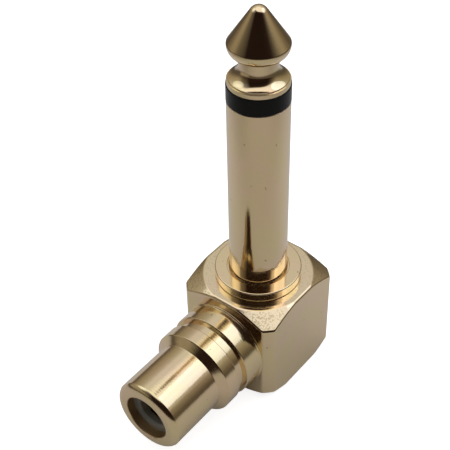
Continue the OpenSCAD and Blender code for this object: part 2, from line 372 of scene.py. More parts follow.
def pitted_ends(tree, place, colour, rough, normal):
    """Adds pits on the two turned ends and their cones. The wheel that polished the edges
    took them off there, and off the flat sides."""
    facing = add(tree, "ShaderNodeSeparateXYZ", {
        0: add(tree, "ShaderNodeTexCoord").outputs["Normal"]}).outputs["Z"]
    upright = add(tree, "ShaderNodeMath", {0: facing}, operation="ABSOLUTE")
    left = add(tree, "ShaderNodeValToRGB", {"Fac": upright}, stops=[
        (spot, (part, part, part, 1)) for spot, part in PITS_LEFT]).outputs["Color"]
    cells = add(tree, "ShaderNodeTexNoise", {
        "Vector": place, "Scale": 1 / PIT, "Detail": 2.5, "Roughness": 0.6})
    hollow = add(tree, "ShaderNodeMapRange", {
        "Value": cells.outputs["Fac"], "From Min": 0.36, "From Max": 0.52,
        "To Min": 1.0, "To Max": 0.0}, interpolation_type="SMOOTHSTEP")
    depth = add(tree, "ShaderNodeMath", {0: hollow.outputs["Result"], 1: left}, operation="MULTIPLY")
    cream = add(tree, "ShaderNodeMix", {
        "Factor": left, "A": colour, "B": hex_colour("#F2DFBF")}, data_type="RGBA")
    colour = add(tree, "ShaderNodeMix", {
        "Factor": depth, "A": cream.outputs["Result"], "B": hex_colour("#DCC8A2")},
        data_type="RGBA").outputs["Result"]
    rough = add(tree, "ShaderNodeMath", {0: depth, 1: PIT_DULL, 2: rough}, operation="MULTIPLY_ADD")
    normal = add(tree, "ShaderNodeBump", {
        "Height": depth, "Strength": 1.0, "Distance": PIT_DEPTH, "Normal": normal},
        invert=True).outputs["Normal"]
    return colour, rough, normal


def dull_bore_painted_shade(tree, place, colour, rough, normal):
    """Makes the socket's bore, left as bored, duller than the polished outside, and browner with painted
    shade.
    """
    about = add(tree, "ShaderNodeVectorMath", {0: place, 1: (0, 0, SOCKET_H)}, operation="SUBTRACT")
    flat = add(tree, "ShaderNodeVectorMath", {0: about, 1: (1, 0, 1)}, operation="MULTIPLY")
    radius = add(tree, "ShaderNodeVectorMath", {0: flat}, operation="LENGTH")
    inside = add(tree, "ShaderNodeMapRange", {
        "Value": radius.outputs["Value"], "From Min": BORE_FROM, "From Max": BORE_TO,
        "To Min": 1.0, "To Max": 0.0}, interpolation_type="SMOOTHSTEP").outputs["Result"]
    # Painted shade: the bore's colour turns browner and darker inside the mouth
    colour = add(tree, "ShaderNodeMix", {
        "Factor": inside, "A": colour, "B": hex_colour("#BC9C70")},
        data_type="RGBA").outputs["Result"]
    rough = add(tree, "ShaderNodeMath", {0: inside, 1: BORE_DULL, 2: rough}, operation="MULTIPLY_ADD")
    return colour, rough, normal


def gold_material(name, marks_along, marks_depth, swell_size, swell_depth, gloss, extra=None):
    """Gold plate on turned brass, whose marks run round the axis named. The swells' size is in
    millimetres, the depths are in metres, gloss is the roughness, and extra changes the skin."""
    material, tree = new_material(name)
    place = in_millimetres(tree)
    patch = add(tree, "ShaderNodeTexNoise", {"Vector": place, "Scale": 1 / PATCH, "Detail": 3.0})
    colour = add(tree, "ShaderNodeValToRGB", {"Fac": patch.outputs["Fac"]}, stops=(
        (0.38, hex_colour("#F2D8B5")), (0.62, hex_colour("#EFDBAE"))))
    rough = add(tree, "ShaderNodeMapRange", {
        "Value": patch.outputs["Fac"], "From Min": 0.3, "From Max": 0.7,
        "To Min": gloss - PATCH_GLOSS, "To Max": gloss + PATCH_GLOSS}).outputs["Result"]
    swell = add(tree, "ShaderNodeTexNoise", {"Vector": place, "Scale": 1 / swell_size, "Detail": 1.0})
    soft = add(tree, "ShaderNodeBump", {
        "Height": swell.outputs["Fac"], "Strength": 1.0, "Distance": swell_depth})
    grain = add(tree, "ShaderNodeTexNoise", {"Vector": place, "Scale": 1 / GRAIN, "Detail": 2.0})
    fine = add(tree, "ShaderNodeBump", {
        "Height": grain.outputs["Fac"], "Strength": 1.0, "Distance": swell_depth / GRAIN_SHALLOWER,
        "Normal": soft.outputs["Normal"]})
    marks = add(tree, "ShaderNodeTexWave", {
        "Vector": place, "Scale": WAVE_UNIT / MARK_PITCH, "Distortion": 0.6, "Detail": 1.0,
        "Detail Scale": 0.3}, wave_type="BANDS", bands_direction=marks_along)
    normal = add(tree, "ShaderNodeBump", {
        "Height": marks.outputs["Fac"], "Strength": 1.0, "Distance": marks_depth,
        "Normal": fine.outputs["Normal"]}).outputs["Normal"]
    # A few specks of dust and small bruises
    bruise = add(tree, "ShaderNodeTexNoise", {"Vector": place, "Scale": 1 / SPECK, "Detail": 0.0})
    speck = add(tree, "ShaderNodeMapRange", {
        "Value": bruise.outputs["Fac"], "From Min": 0.83, "From Max": 0.88})
    colour = add(tree, "ShaderNodeMix", {
        "Factor": speck.outputs["Result"], "A": colour.outputs["Color"], "B": hex_colour("#B4A27A")},
        data_type="RGBA").outputs["Result"]
    if extra:
        colour, rough, normal = extra(tree, place, colour, rough, normal)
    shader = add(tree, "ShaderNodeBsdfPrincipled", {
        "Base Color": colour, "Metallic": 1.0, "Roughness": rough, "Normal": normal})
    add(tree, "ShaderNodeOutputMaterial", {"Surface": shader})
    return material


def plastic_material(name, code, worn, roughness, specular):
    """Moulded plastic with a faint grain from its mould, between two near colours."""
    material, tree = new_material(name)
    place = in_millimetres(tree)
    cloud = add(tree, "ShaderNodeTexNoise", {"Vector": place, "Scale": 1 / CLOUD, "Detail": 3.0})
    colour = add(tree, "ShaderNodeMix", {
        "Factor": cloud.outputs["Fac"], "A": hex_colour(code), "B": hex_colour(worn)}, data_type="RGBA")
    rough = add(tree, "ShaderNodeMapRange", {
        "Value": cloud.outputs["Fac"], "To Min": roughness - 0.05, "To Max": roughness + 0.05})
    grain = add(tree, "ShaderNodeTexNoise", {"Vector": place, "Scale": 1 / GRAIN, "Detail": 2.0})
    normal = add(tree, "ShaderNodeBump", {
        "Height": grain.outputs["Fac"], "Strength": 1.0, "Distance": MOULD_GRAIN})
    shader = add(tree, "ShaderNodeBsdfPrincipled", {
        "Base Color": colour.outputs["Result"], "Roughness": rough.outputs["Result"],
        "IOR": 1.5, "Specular IOR Level": specular, "Normal": normal.outputs["Normal"]})
    add(tree, "ShaderNodeOutputMaterial", {"Surface": shader})
    return material


def bare_metal_material(name, code, dull, roughness, depth):
    """Unplated metal: clean and dull patches, and fine marks that go round the plug's axis."""
    material, tree = new_material(name)
    place = in_millimetres(tree)
    patch = add(tree, "ShaderNodeTexNoise", {"Vector": place, "Scale": 2 / PATCH, "Detail": 4.0})
    colour = add(tree, "ShaderNodeMix", {
        "Factor": patch.outputs["Fac"], "A": hex_colour(code), "B": hex_colour(dull)}, data_type="RGBA")
    rough = add(tree, "ShaderNodeMapRange", {
        "Value": patch.outputs["Fac"], "To Min": roughness - 0.06, "To Max": roughness + 0.08})
    marks = add(tree, "ShaderNodeTexWave", {
        "Vector": place, "Scale": WAVE_UNIT / MARK_PITCH, "Distortion": 1.5, "Detail": 2.0},
        wave_type="BANDS", bands_direction="Z")
    normal = add(tree, "ShaderNodeBump", {
        "Height": marks.outputs["Fac"], "Strength": 1.0, "Distance": depth})
    shader = add(tree, "ShaderNodeBsdfPrincipled", {
        "Base Color": colour.outputs["Result"], "Metallic": 1.0,
        "Roughness": rough.outputs["Result"], "Normal": normal.outputs["Normal"]})
    add(tree, "ShaderNodeOutputMaterial", {"Surface": shader})
    return material


# Turned brass, polished and gold plated. It mirrors the room with slightly soft edges, pale
# yellow, with faint rings round the plug and patches a little pinker than the rest.
GOLD = gold_material("gold_plated_turned_brass", marks_along="Z", marks_depth=3e-7,
                     swell_size=SWELL, swell_depth=3e-6, gloss=0.1)
# The block is cut from square bar: its flats are wiped smooth, and its turned ends keep
# small pits that sparkle through the plating.
BLOCK_GOLD = gold_material("gold_plated_pitted_brass", marks_along="Z", marks_depth=2e-7,
                           swell_size=SWELL, swell_depth=4e-6, gloss=0.1, extra=pitted_ends)
# The socket's shell is turned about its own axis. Its bore is duller, and painted browner as shade.
SHELL_GOLD = gold_material("gold_plated_turned_brass_socket", marks_along="Y", marks_depth=1e-6,
                           swell_size=SOCKET_SWELL, swell_depth=4e-6, gloss=0.13, extra=dull_bore_painted_shade)
# Black polyamide, moulded with a satin skin that hardly shines
BLACK = plastic_material("moulded_black_nylon_satin", "#060607", "#0C0C0D",
                         roughness=0.3, specular=0.2)
# Grey acetal, moulded: soft sheen, no mirror
GREY = plastic_material("moulded_grey_acetal_satin", "#83837C", "#93938C",
                        roughness=0.42, specular=0.5)
# White acetal, moulded: slightly waxy and milky
WHITE = plastic_material("moulded_white_acetal", "#E6E4DE", "#D9D6CE",
                         roughness=0.4, specular=0.5)
# Brass straight from the lathe: greener and duller than the plate, with visible marks
BRASS = bare_metal_material("bare_turned_brass", "#D9C07A", "#BFA262",
                            roughness=0.26, depth=1.2e-6)
# Tin solder that froze with a bright, slightly lumpy skin
SOLDER = bare_metal_material("tin_solder_bright", "#CDCFD1", "#B4B6B9",
                             roughness=0.22, depth=2e-6)


# Plug

BLOCK_HIGH = box_mm("elbow_body")[1]
BLOCK_TOP = BLOCK_HIGH.z
BLOCK_FLAT = BLOCK_HIGH.x
COLLAR_TOP = box_mm("plug_collar")[1].z
SLEEVE_FOOT = box_mm("plug_sleeve")[0].z
BAND_Z = box_mm("plug_sleeve")[1].z
TIP_Z = box_mm("tip_insulator")[1].z
POINT_Z = box_mm("plug_tip")[1].z

# Sizes from here on are in millimetres: R is a radius, L a length, H a height, W a width and
# T a thickness
COLLAR_R = 4.8
COLLAR_ROUND = 0.14
RELIEF_W = 0.27
RELIEF_H = 0.4
SLEEVE_R = 3.175
SPIGOT_R = 2.775
# The sleeve's foot has a fine bead, level with the collar's top
SLEEVE_BEAD = 0.1
SLEEVE_BORE_R = 2.2
BAND_R = 3.195
BAND_SPIGOT_L = 3
ROD_R = 1.1
ROD_GRIP_L = 4.5

FOOT_R = 3.12
FOOT_H = 0.57
# Fine step turned where the hollow meets the foot
STEP_W = 0.18
STEP_H = 0.16
STEP_EDGE = 0.03
HOLLOW_R = 1.85
# The neck runs straight this far below the hollow's own round
NECK_REACH = 0.28
NECK_R = 1.96
NECK_L = 0.74
HEAD_R = 3.065
UNDER_H = 1.25
HEAD_ROUND = 0.3
POINT_R = 1


def make_collar():
    """Flat ring at the plug's foot, with the relief inside its upper edge."""
    rest = COLLAR_TOP - RELIEF_H
    edge = COLLAR_R - COLLAR_ROUND
    section = [
        (SPIGOT_R, BLOCK_TOP),
        *arc(edge, BLOCK_TOP + COLLAR_ROUND, COLLAR_ROUND, COLLAR_ROUND, -90, 0),
        *arc(edge, COLLAR_TOP - COLLAR_ROUND, COLLAR_ROUND, COLLAR_ROUND, 0, 90),
        (SLEEVE_R + RELIEF_W, COLLAR_TOP, TURNED_EDGE), (SLEEVE_R + RELIEF_W, rest), (SPIGOT_R, rest)]
    show("collar", turned_mesh("collar", section, GOLD), GOLD, "gold_plate", "plug_collar")


def make_sleeve():
    """Barrel of the plug, with its spigot below and the bead at its foot."""
    rest = COLLAR_TOP - RELIEF_H
    bead_r = SLEEVE_R + SLEEVE_BEAD
    section = [
        (SLEEVE_BORE_R, SLEEVE_FOOT), (SPIGOT_R, SLEEVE_FOOT), (SPIGOT_R, rest), (bead_r, rest),
        (bead_r, COLLAR_TOP - SLEEVE_BEAD / 2, TURNED_EDGE),
        (SLEEVE_R, COLLAR_TOP + SLEEVE_BEAD / 2, TURNED_EDGE),
        (SLEEVE_R, BAND_Z, TURNED_EDGE), (SLEEVE_BORE_R, BAND_Z)]
    show("sleeve", turned_mesh("sleeve", section, GOLD), GOLD, "gold_plate", "plug_sleeve")


def make_black_ring():
    """Ring that parts the tip from the sleeve, with its spigot inside the sleeve."""
    spigot = BAND_Z - BAND_SPIGOT_L
    section = [
        (ROD_R, spigot), (SLEEVE_BORE_R, spigot), (SLEEVE_BORE_R, BAND_Z),
        (BAND_R, BAND_Z, MOULDED_EDGE), (BAND_R, TIP_Z, MOULDED_EDGE), (ROD_R, TIP_Z)]
    show("black_ring", turned_mesh("black_ring", section, BLACK), BLACK, "black_plastic", "tip_insulator")


def make_tip():
    """Foot, fine step, hollow, neck, head with a rounded underside, and rounded cone."""
    hollow = NECK_R + HOLLOW_R
    rise = math.sqrt(HOLLOW_R ** 2 - (hollow - FOOT_R) ** 2)
    neck = TIP_Z + FOOT_H + rise
    bend = neck - NECK_REACH
    # The hollow's round is a little flatter than a circle, and stops at the step
    fall = HOLLOW_R * (rise - NECK_REACH) / rise
    foot = 180 + math.degrees(math.asin(rise / HOLLOW_R))
    flare = [point for point in arc(hollow, bend, HOLLOW_R, fall, foot, 180)
             if point[0] < FOOT_R - STEP_W - STEP_EDGE]
    step = bend - fall * math.sqrt(1 - ((hollow - FOOT_R + STEP_W) / HOLLOW_R) ** 2)
    # Angle at which one straight line touches both the head's round and the point's
    widest = neck + NECK_L + UNDER_H
    round_r = HEAD_R - HEAD_ROUND
    ball = POINT_Z - POINT_R
    away = math.hypot(round_r, widest - ball)
    touch = math.degrees(math.atan2(widest - ball, round_r) + math.acos((POINT_R - HEAD_ROUND) / away))
    bottom = TIP_Z + ROD_GRIP_L
    section = [
        (0, bottom), (ROD_R, bottom), (ROD_R, TIP_Z), (FOOT_R, TIP_Z, TURNED_EDGE),
        (FOOT_R, step - STEP_H, STEP_EDGE), (FOOT_R - STEP_W, step - STEP_H, STEP_EDGE),
        (FOOT_R - STEP_W, step, STEP_EDGE), *flare, (NECK_R, neck),
        *arc(NECK_R, widest, HEAD_R - NECK_R, UNDER_H, -90, 0)[:-1],
        *arc(round_r, widest, HEAD_ROUND, HEAD_ROUND, 0, touch),
        *arc(0, ball, POINT_R, POINT_R, touch, 90)]
    show("tip", turned_mesh("tip", section, GOLD, closed=False), GOLD, "gold_plate", "plug_tip")


make_collar()
make_sleeve()
make_black_ring()
make_tip()


# Block

BLOCK_CORNER_R = 8.1
TOP_LAND_R = 6.125
BASE_LAND_R = 6.55
# Round that the polishing wheel left on the block's edges
BLOCK_ROUND = 0.4
CAP_R = 3.4
CAP_T = 1
CAP_BEVEL = 0.25
CAVITY_R = 2.575
SOCKET_SPIGOT_R = 3.7
SOCKET_SPIGOT_L = 2.6
# Columns along each flat side, along each corner, and round the edge between them
FLAT_COLUMNS = 72
CORNER_COLUMNS = 8
EDGE_COLUMNS = 10
# Where the bevel has two points of its own, as shares of its width
BEVEL_POINTS = (0.05, 0.95)
# Cutters run past the faces that they open by this much
CUT = 0.5


def block_outline():
    """Points round the block at mid height: four flats and four turned corners."""
    inner = BLOCK_FLAT - BLOCK_ROUND
    half = math.sqrt((BLOCK_CORNER_R - BLOCK_ROUND) ** 2 - inner ** 2)
    start = math.atan2(half, inner)
    side = [(BLOCK_FLAT, half * (2 * i / FLAT_COLUMNS - 1)) for i in range(FLAT_COLUMNS + 1)]
    side.insert(1, (BLOCK_FLAT, KEEP_FLAT - half))
    side.insert(-1, (BLOCK_FLAT, half - KEEP_FLAT))
    for i in range(1, EDGE_COLUMNS + 1):
        angle = start * i / EDGE_COLUMNS
        side.append((inner + BLOCK_ROUND * math.cos(angle), half + BLOCK_ROUND * math.sin(angle)))
    for i in range(1, CORNER_COLUMNS + 1):
        angle = start + (math.pi / 2 - 2 * start) * i / CORNER_COLUMNS
        side.append((BLOCK_CORNER_R * math.cos(angle), BLOCK_CORNER_R * math.sin(angle)))
    for i in range(1, EDGE_COLUMNS):
        angle = math.pi / 2 - start * (1 - i / EDGE_COLUMNS)
        side.append((half + BLOCK_ROUND * math.cos(angle), inner + BLOCK_ROUND * math.sin(angle)))
    points = []
    for cos, sin in ((1, 0), (0, 1), (-1, 0), (0, -1)):
        points += [(x * cos - y * sin, x * sin + y * cos) for x, y in side]
    return points


def rounded_end(land, reach):
    """Points from a land round its bevel to the wall, as distance from the axis and depth
    below the land. A bevel too narrow for the edges' rounds is lost in one round."""
    slope = math.radians(CONE_ANGLE)
    first = (land - BLOCK_ROUND * math.tan(slope / 2), BLOCK_ROUND)
    second = (reach - BLOCK_ROUND, (reach - land) * math.tan(slope)
              + BLOCK_ROUND * (1 - math.sin(slope)) / math.cos(slope))
    if first[0] > second[0]:
        first = second = (reach - BLOCK_ROUND, BLOCK_ROUND)
    rounds = []
    for (r, depth), start, end in ((first, 0, slope), (second, slope, math.pi / 2)):
        angles = [start + (end - start) * i / EDGE_COLUMNS for i in range(EDGE_COLUMNS + 1)]
        rounds.append([(r + BLOCK_ROUND * math.sin(angle), depth - BLOCK_ROUND * math.cos(angle))
                       for angle in angles])
    upper, lower = rounds
    bevel = [tuple(a + (b - a) * part for a, b in zip(upper[-1], lower[0])) for part in BEVEL_POINTS]
    return upper + bevel + lower


def block_column(reach):
    """Section of the block at a bearing where its outline is that far from the axis."""
    low = rounded_end(min(BASE_LAND_R, reach), reach)
    high = [(r, BLOCK_TOP - depth) for r, depth in reversed(rounded_end(TOP_LAND_R, reach))]
    keepers = [(reach, low[-1][1] + KEEP_FLAT), (reach, high[0][1] - KEEP_FLAT)]
    return ([(low[0][0] - KEEP_FLAT, 0)] + low + keepers + high
            + [(high[-1][0] - KEEP_FLAT, BLOCK_TOP)])


def cylinder_cutter(radius, low, high, place=None):
    """A plain cylinder for cutting a bore, from one height to another on its axis."""
    mesh = plain_mesh("cutter", bmesh.ops.create_cone, cap_ends=True, segments=STEPS_ROUND,
                      radius1=radius, radius2=radius, depth=high - low,
                      matrix=Matrix.Translation((0, 0, (low + high) / 2)))
    if place is not None:
        mesh.transform(place)
    return plain_object("cutter", mesh)


def cut_away(mesh, cutters):
    """The mesh with the cutters' shapes taken out of it."""
    obj = plain_object("blank", mesh)
    for cutter in cutters:
        modifier = obj.modifiers.new("bore", "BOOLEAN")
        modifier.operation = "DIFFERENCE"
        modifier.solver = "EXACT"
        modifier.object = cutter
    result = evaluated_mesh(obj)
    for cutter in cutters:
        bpy.data.objects.remove(cutter)
    return result


def on_socket():
    """Puts a shape made about +Z on the socket's axis, pointing out of the block."""
    return Matrix.Translation((0, -BLOCK_FLAT, SOCKET_H)) @ Matrix.Rotation(math.radians(90), 4, "X")


def make_block():
    """Square block with its seats and cavity, built from one section at each bearing."""
    columns = []
    for x, y in block_outline():
        reach = math.hypot(x, y)
        columns.append([(x / reach * r, y / reach * r, z) for r, z in block_column(reach)])
    rows, count = len(columns[0]), len(columns)
    points = [point for column in columns for point in column]
    faces = []
    for i in range(count):
        j = (i + 1) % count
        for k in range(rows - 1):
            faces.append((i * rows + k, j * rows + k, j * rows + k + 1, i * rows + k + 1))
    faces.append([i * rows for i in reversed(range(count))])
    faces.append([i * rows + rows - 1 for i in range(count)])
    mesh = bpy.data.meshes.new("block")
    mesh.from_pydata(points, [], faces)
    mesh = cut_away(finish_mesh(mesh), [
        cylinder_cutter(CAP_R, -CUT, CAP_T),
        cylinder_cutter(CAVITY_R, CAP_T - CUT, SLEEVE_FOOT + CUT),
        cylinder_cutter(SPIGOT_R, SLEEVE_FOOT, BLOCK_TOP + CUT),
        cylinder_cutter(SOCKET_SPIGOT_R, -SOCKET_SPIGOT_L, CUT, on_socket()),
        cylinder_cutter(CAVITY_R, -BLOCK_FLAT, 0, on_socket())])
    show("block", finish_mesh(mesh), BLOCK_GOLD, "gold_plate", "elbow_body")


def make_cap():
    """Pressed cap that closes the block underneath."""
    section = [(0, 0), (CAP_R - CAP_BEVEL, 0, TURNED_EDGE), (CAP_R, CAP_BEVEL, TURNED_EDGE),
               (CAP_R, CAP_T), (0, CAP_T)]
    show("cap", turned_mesh("cap", section, GOLD, closed=False), GOLD, "gold_plate", "access_cap")


make_block()
make_cap()


# Socket

SOCKET_L = -box_mm("socket_shell")[0].y - BLOCK_FLAT
ROOT_R = 5.15
ROOT_L = 2.5
# Fine bead where the root meets the block
ROOT_BEAD = 0.12
GROOVE_R = 4.7
GROOVE_W = 1.22
RING_R = 5.05
RING_L = 1.82
TAPER_L = 0.66
BARREL_R = 4.15
# The mouth's outer round, which meets the barrel this many degrees before it would be level
MOUTH_ROUND = 0.85
MOUTH_CREST = 18
MOUTH_R = 2.65
LIP_BEVEL = 0.09
COUNTER_R = 3.1
COUNTER_L = 1
SHELL_BEVEL = 0.08
# The front insulator's face sits this far inside the mouth
FACE_RECESS = 0.95
FLANGE_T = 1.2
LIP_T = 0.85
LIP_HOLE_R = 1.8
LEAD_IN = 0.25
CONTACT_BORE_R = 1.6
CONTACT_BORE_L = 9.6
FINGER_T = 0.4
FINGER_GAP = 0.1
SLOT_COUNT = 4
SLOT_W = 0.4
SLOT_L = 6
CONTACT_FLANGE_R = 2.6
CONTACT_FLANGE_T = 0.8
TAIL_R = 1
TAIL_REACH = 0.95
PIN_R = 0.5
SADDLE_GAP = 0.05

# The fingers spread inside this radius
CONTACT_R = CONTACT_BORE_R + FINGER_T + FINGER_GAP
# Distances out from the block's face
RING_D0 = ROOT_L + GROOVE_W
RING_D1 = RING_D0 + RING_L
FACE_D = SOCKET_L - FACE_RECESS
FINGER_D = FACE_D - LIP_T
SPLIT_D = COUNTER_L - FLANGE_T


def make_shell():
    """Turned shell: spigot, root, groove, stop ring, taper and barrel with a rounded mouth."""
    round_r = BARREL_R - MOUTH_ROUND * math.cos(math.radians(MOUTH_CREST))
    section = [
        (COUNTER_R, -SOCKET_SPIGOT_L), (SOCKET_SPIGOT_R - SHELL_BEVEL, -SOCKET_SPIGOT_L),
        (SOCKET_SPIGOT_R, SHELL_BEVEL - SOCKET_SPIGOT_L), (SOCKET_SPIGOT_R, 0), (ROOT_R + ROOT_BEAD, 0),
        (ROOT_R + ROOT_BEAD, ROOT_BEAD / 2, TURNED_EDGE), (ROOT_R, ROOT_BEAD * 1.5, TURNED_EDGE),
        (ROOT_R, ROOT_L - SHELL_BEVEL, TURNED_EDGE), (ROOT_R - SHELL_BEVEL, ROOT_L, TURNED_EDGE),
        (GROOVE_R, ROOT_L), (GROOVE_R, RING_D0), (RING_R - SHELL_BEVEL, RING_D0, TURNED_EDGE),
        (RING_R, RING_D0 + SHELL_BEVEL, TURNED_EDGE), (RING_R, RING_D1 - SHELL_BEVEL, TURNED_EDGE),
        (RING_R - SHELL_BEVEL, RING_D1, TURNED_EDGE), (BARREL_R, RING_D1 + TAPER_L, TURNED_EDGE),
        *arc(round_r, SOCKET_L - MOUTH_ROUND, MOUTH_ROUND, MOUTH_ROUND, MOUTH_CREST, 90),
        (MOUTH_R + LIP_BEVEL, SOCKET_L), (MOUTH_R, SOCKET_L - LIP_BEVEL),
        (MOUTH_R, COUNTER_L), (COUNTER_R, COUNTER_L)]
    mesh = turned_mesh("socket_shell", section, SHELL_GOLD, place=on_socket())
    show("shell", mesh, SHELL_GOLD, "gold_plate", "socket_shell")


def make_grey_insulator():
    """Moulded sleeve round the contact, whose face shows inside the mouth."""
    section = [
        (CONTACT_R, SPLIT_D), (COUNTER_R, SPLIT_D), (COUNTER_R, COUNTER_L), (MOUTH_R, COUNTER_L),
        (MOUTH_R, FACE_D), (LIP_HOLE_R + LEAD_IN, FACE_D, MOULDED_EDGE),
        (LIP_HOLE_R, FACE_D - LEAD_IN, MOULDED_EDGE), (LIP_HOLE_R, FINGER_D), (CONTACT_R, FINGER_D)]
    mesh = turned_mesh("grey_insulator", section, GREY, place=on_socket())
    show("grey_face", mesh, GREY, "grey_plastic", "front_insulator")


def slots_tree():
    """Cuts slots round the axis of a turned contact, from its open end."""
    tree, given = new_tree("contact_slots", {
        "Blank": "Geometry", "Slots": "Int", "Slot width": "Float", "Slot length": "Float",
        "Slot reach": "Float", "Open end": "Float", "Material": "Material"})
    size = add(tree, "ShaderNodeCombineXYZ", {
        "X": given["Slot reach"], "Y": given["Slot width"], "Z": given["Slot length"]})
    bar = add(tree, "GeometryNodeMeshCube", {"Size": size})
    half = add(tree, "ShaderNodeMath", {0: given["Slot reach"], 1: 0.5}, operation="MULTIPLY")
    away = add(tree, "ShaderNodeCombineXYZ", {"X": half, "Z": given["Open end"]})
    placed = add(tree, "GeometryNodeTransform", {"Geometry": bar, "Translation": away})
    spots = add(tree, "GeometryNodePoints", {"Count": given["Slots"]})
    index = add(tree, "GeometryNodeInputIndex")
    share = add(tree, "ShaderNodeMath", {0: index, 1: given["Slots"]}, operation="DIVIDE")
    angle = add(tree, "ShaderNodeMath", {0: share, 1: math.tau}, operation="MULTIPLY")
    turn = add(tree, "ShaderNodeCombineXYZ", {"Z": angle})
    bars = add(tree, "GeometryNodeInstanceOnPoints", {"Points": spots, "Instance": placed, "Rotation": turn})
    real_bars = add(tree, "GeometryNodeRealizeInstances", {"Geometry": bars})
    cut = add(tree, "GeometryNodeMeshBoolean", {
        "Mesh 1": given["Blank"], "Mesh 2": real_bars},
        operation="DIFFERENCE", solver="EXACT")
    end_tree(tree, cut, given["Material"])
    return tree


def make_contact():
    """Socket for the mating pin: slotted fingers, flange and solder tail in one piece."""
    flange_back = SPLIT_D - CONTACT_FLANGE_T
    root_end = FINGER_D - SLOT_L - SLOT_W
    entry = FINGER_T / 2
    bore_end = FINGER_D - CONTACT_BORE_L
    tail_end = -(BLOCK_FLAT + TAIL_REACH)
    section = [
        (0, tail_end), (TAIL_R, tail_end), (TAIL_R, flange_back), (CONTACT_FLANGE_R, flange_back),
        (CONTACT_FLANGE_R, SPLIT_D), (CONTACT_R, SPLIT_D), (CONTACT_R, root_end),
        (CONTACT_R - FINGER_GAP, root_end + FINGER_GAP), (CONTACT_R - FINGER_GAP, FINGER_D - entry),
        (CONTACT_R - FINGER_GAP - entry, FINGER_D), (CONTACT_BORE_R, FINGER_D),
        (CONTACT_BORE_R, bore_end), (0, bore_end - CONTACT_BORE_R / 2)]
    mesh = turned_mesh("contact", section, GOLD, closed=False)
    # The slots' bars are centred on the open end, so only half of their length cuts
    mesh = run_tree("contact", mesh, slots_tree(), {
        "Slots": SLOT_COUNT, "Slot width": SLOT_W, "Slot length": 2 * SLOT_L,
        "Slot reach": CONTACT_R + CUT, "Open end": FINGER_D, "Material": GOLD})
    # The tail's end has a slot that straddles the rod's pin
    saddle = TAIL_REACH + PIN_R + SADDLE_GAP
    width = 2 * (PIN_R + SADDLE_GAP)
    bar = plain_mesh("saddle", bmesh.ops.create_cube, size=1, matrix=Matrix.Translation(
        (0, 0, tail_end + (saddle - CUT) / 2)) @ Matrix.Diagonal((width, 4 * TAIL_R, saddle + CUT, 1)))
    mesh = cut_away(mesh, [plain_object("saddle", bar)])
    show("contact", finish_mesh(mesh, on_socket()), GOLD, "gold_plate", "socket_contact")


make_shell()
make_grey_insulator()
make_contact()


# Inner pieces, which stay as the CAD made them

def dress_node(name, material):
    """Gives a CAD node that stays its material."""
    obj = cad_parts[name]
    for part in obj.material_slots:
        part.material = material


for inner in ("core_tube", "rear_bush", "rear_insulator"):
    dress_node(inner, WHITE)
for inner in ("tip_rod", "stake_washer"):
    dress_node(inner, BRASS)
dress_node("solder_joint", SOLDER)


# Floor and light

# Half of the floor's width, in metres
FLOOR_HALF = 3
# The pale board round the part, and where it has faded to the darker bench, in millimetres
# towards the camera. Across the camera's view they lie this many times closer.
BOARD_R = 55
BENCH_R = 190
BOARD_CLOSER = 1.7
# Where the board turns from its own colour to a darker and warmer one, a painted shadow
# of the camera's side of the room, in millimetres towards the camera
CAMERA_SHADOW_FROM = -15
CAMERA_SHADOW_TO = 35
# How strongly the floor glows to the camera, and to metal
CAMERA_GLOW = 0.85
METAL_GLOW = 0.02
# Softboxes beside the part and a little behind it, the brighter to the right: bearing from
# the camera's and height in degrees, distance and sizes in metres, how bright each looks,
# and its colour, a little cool
KEY = {"bearing": 99, "height": 48, "distance": 0.7, "width": 0.61, "depth": 0.42,
       "radiance": 0.7, "colour": (0.84, 1.0, 1.24)}
FILL = {"bearing": -106, "height": 44, "distance": 0.7, "width": 0.48, "depth": 0.34,
        "radiance": 0.42, "colour": (0.88, 1.0, 1.02)}
# Low pale card to the left of the part: its bearing from the camera's in degrees, then its
# distance, width, lower edge and height in millimetres, and how many grains lie across it
CARD_BEARING = -80
CARD_DISTANCE = 56
CARD_WIDTH = 76
CARD_FOOT = 9
CARD_HEIGHT = 28
CARD_GRAINS = 40
# Where the card's rim has faded in and starts to fade out, as shares of its sides
CARD_SOLID = (0.3, 0.7)
# How much more light matt surfaces gather from the room than metal shows, which brings
# them to the level at which a colour renders as it is written
MATT_GAIN = 1.38
# The room as metal shows it: brightness at each height in degrees, away from the camera
# and on the dark side behind the camera
ROOM = ((0, (0.13, 0.108, 0.078)), (7, (0.18, 0.153, 0.11)), (15, (0.285, 0.25, 0.18)),
        (25, (0.34, 0.31, 0.235)), (36, (0.44, 0.42, 0.38)), (45, (0.66, 0.66, 0.66)),
        (54, (0.65, 0.65, 0.66)), (61, (1.0, 1.0, 1.0)), (72, (1.08, 1.08, 1.08)),
        (90, (1.0, 1.0, 1.0)))
DARK_SIDE = ((0, (0.02, 0.011, 0.009)), (38, (0.014, 0.008, 0.007)), (52, (0.02, 0.012, 0.01)),
             (57, (0.05, 0.04, 0.03)), (59, (0.2, 0.19, 0.17)), (61, (0.72, 0.72, 0.72)),
             (64, (0.92, 0.92, 0.92)), (70, (1.03, 1.03, 1.03)), (90, (1.0, 1.0, 1.0)))
# How many degrees lower the dark side ends at the far right than in the middle. The first
# comes on evenly from left to right, and the second faster and faster, right of the middle.
DARK_LEAN = 6
DARK_SWEEP = 37
# How much of the room is lit at each bearing from the camera's, in degrees. A share over 1
# is brighter than the room.
LIT = ((-180, 1.0), (-125, 1.1), (-112, 1.2), (-105, 1.1), (-95, 0.9), (-85, 0.47), (-75, 0.3),
       (-65, 0.2), (-55, 0.09), (-49, 0), (40, 0), (48, 0.04), (60, 0.2), (66, 0.35), (75, 0.6),
       (80, 0.72), (87, 1.0), (95, 1.05), (115, 0.97), (180, 1.0))


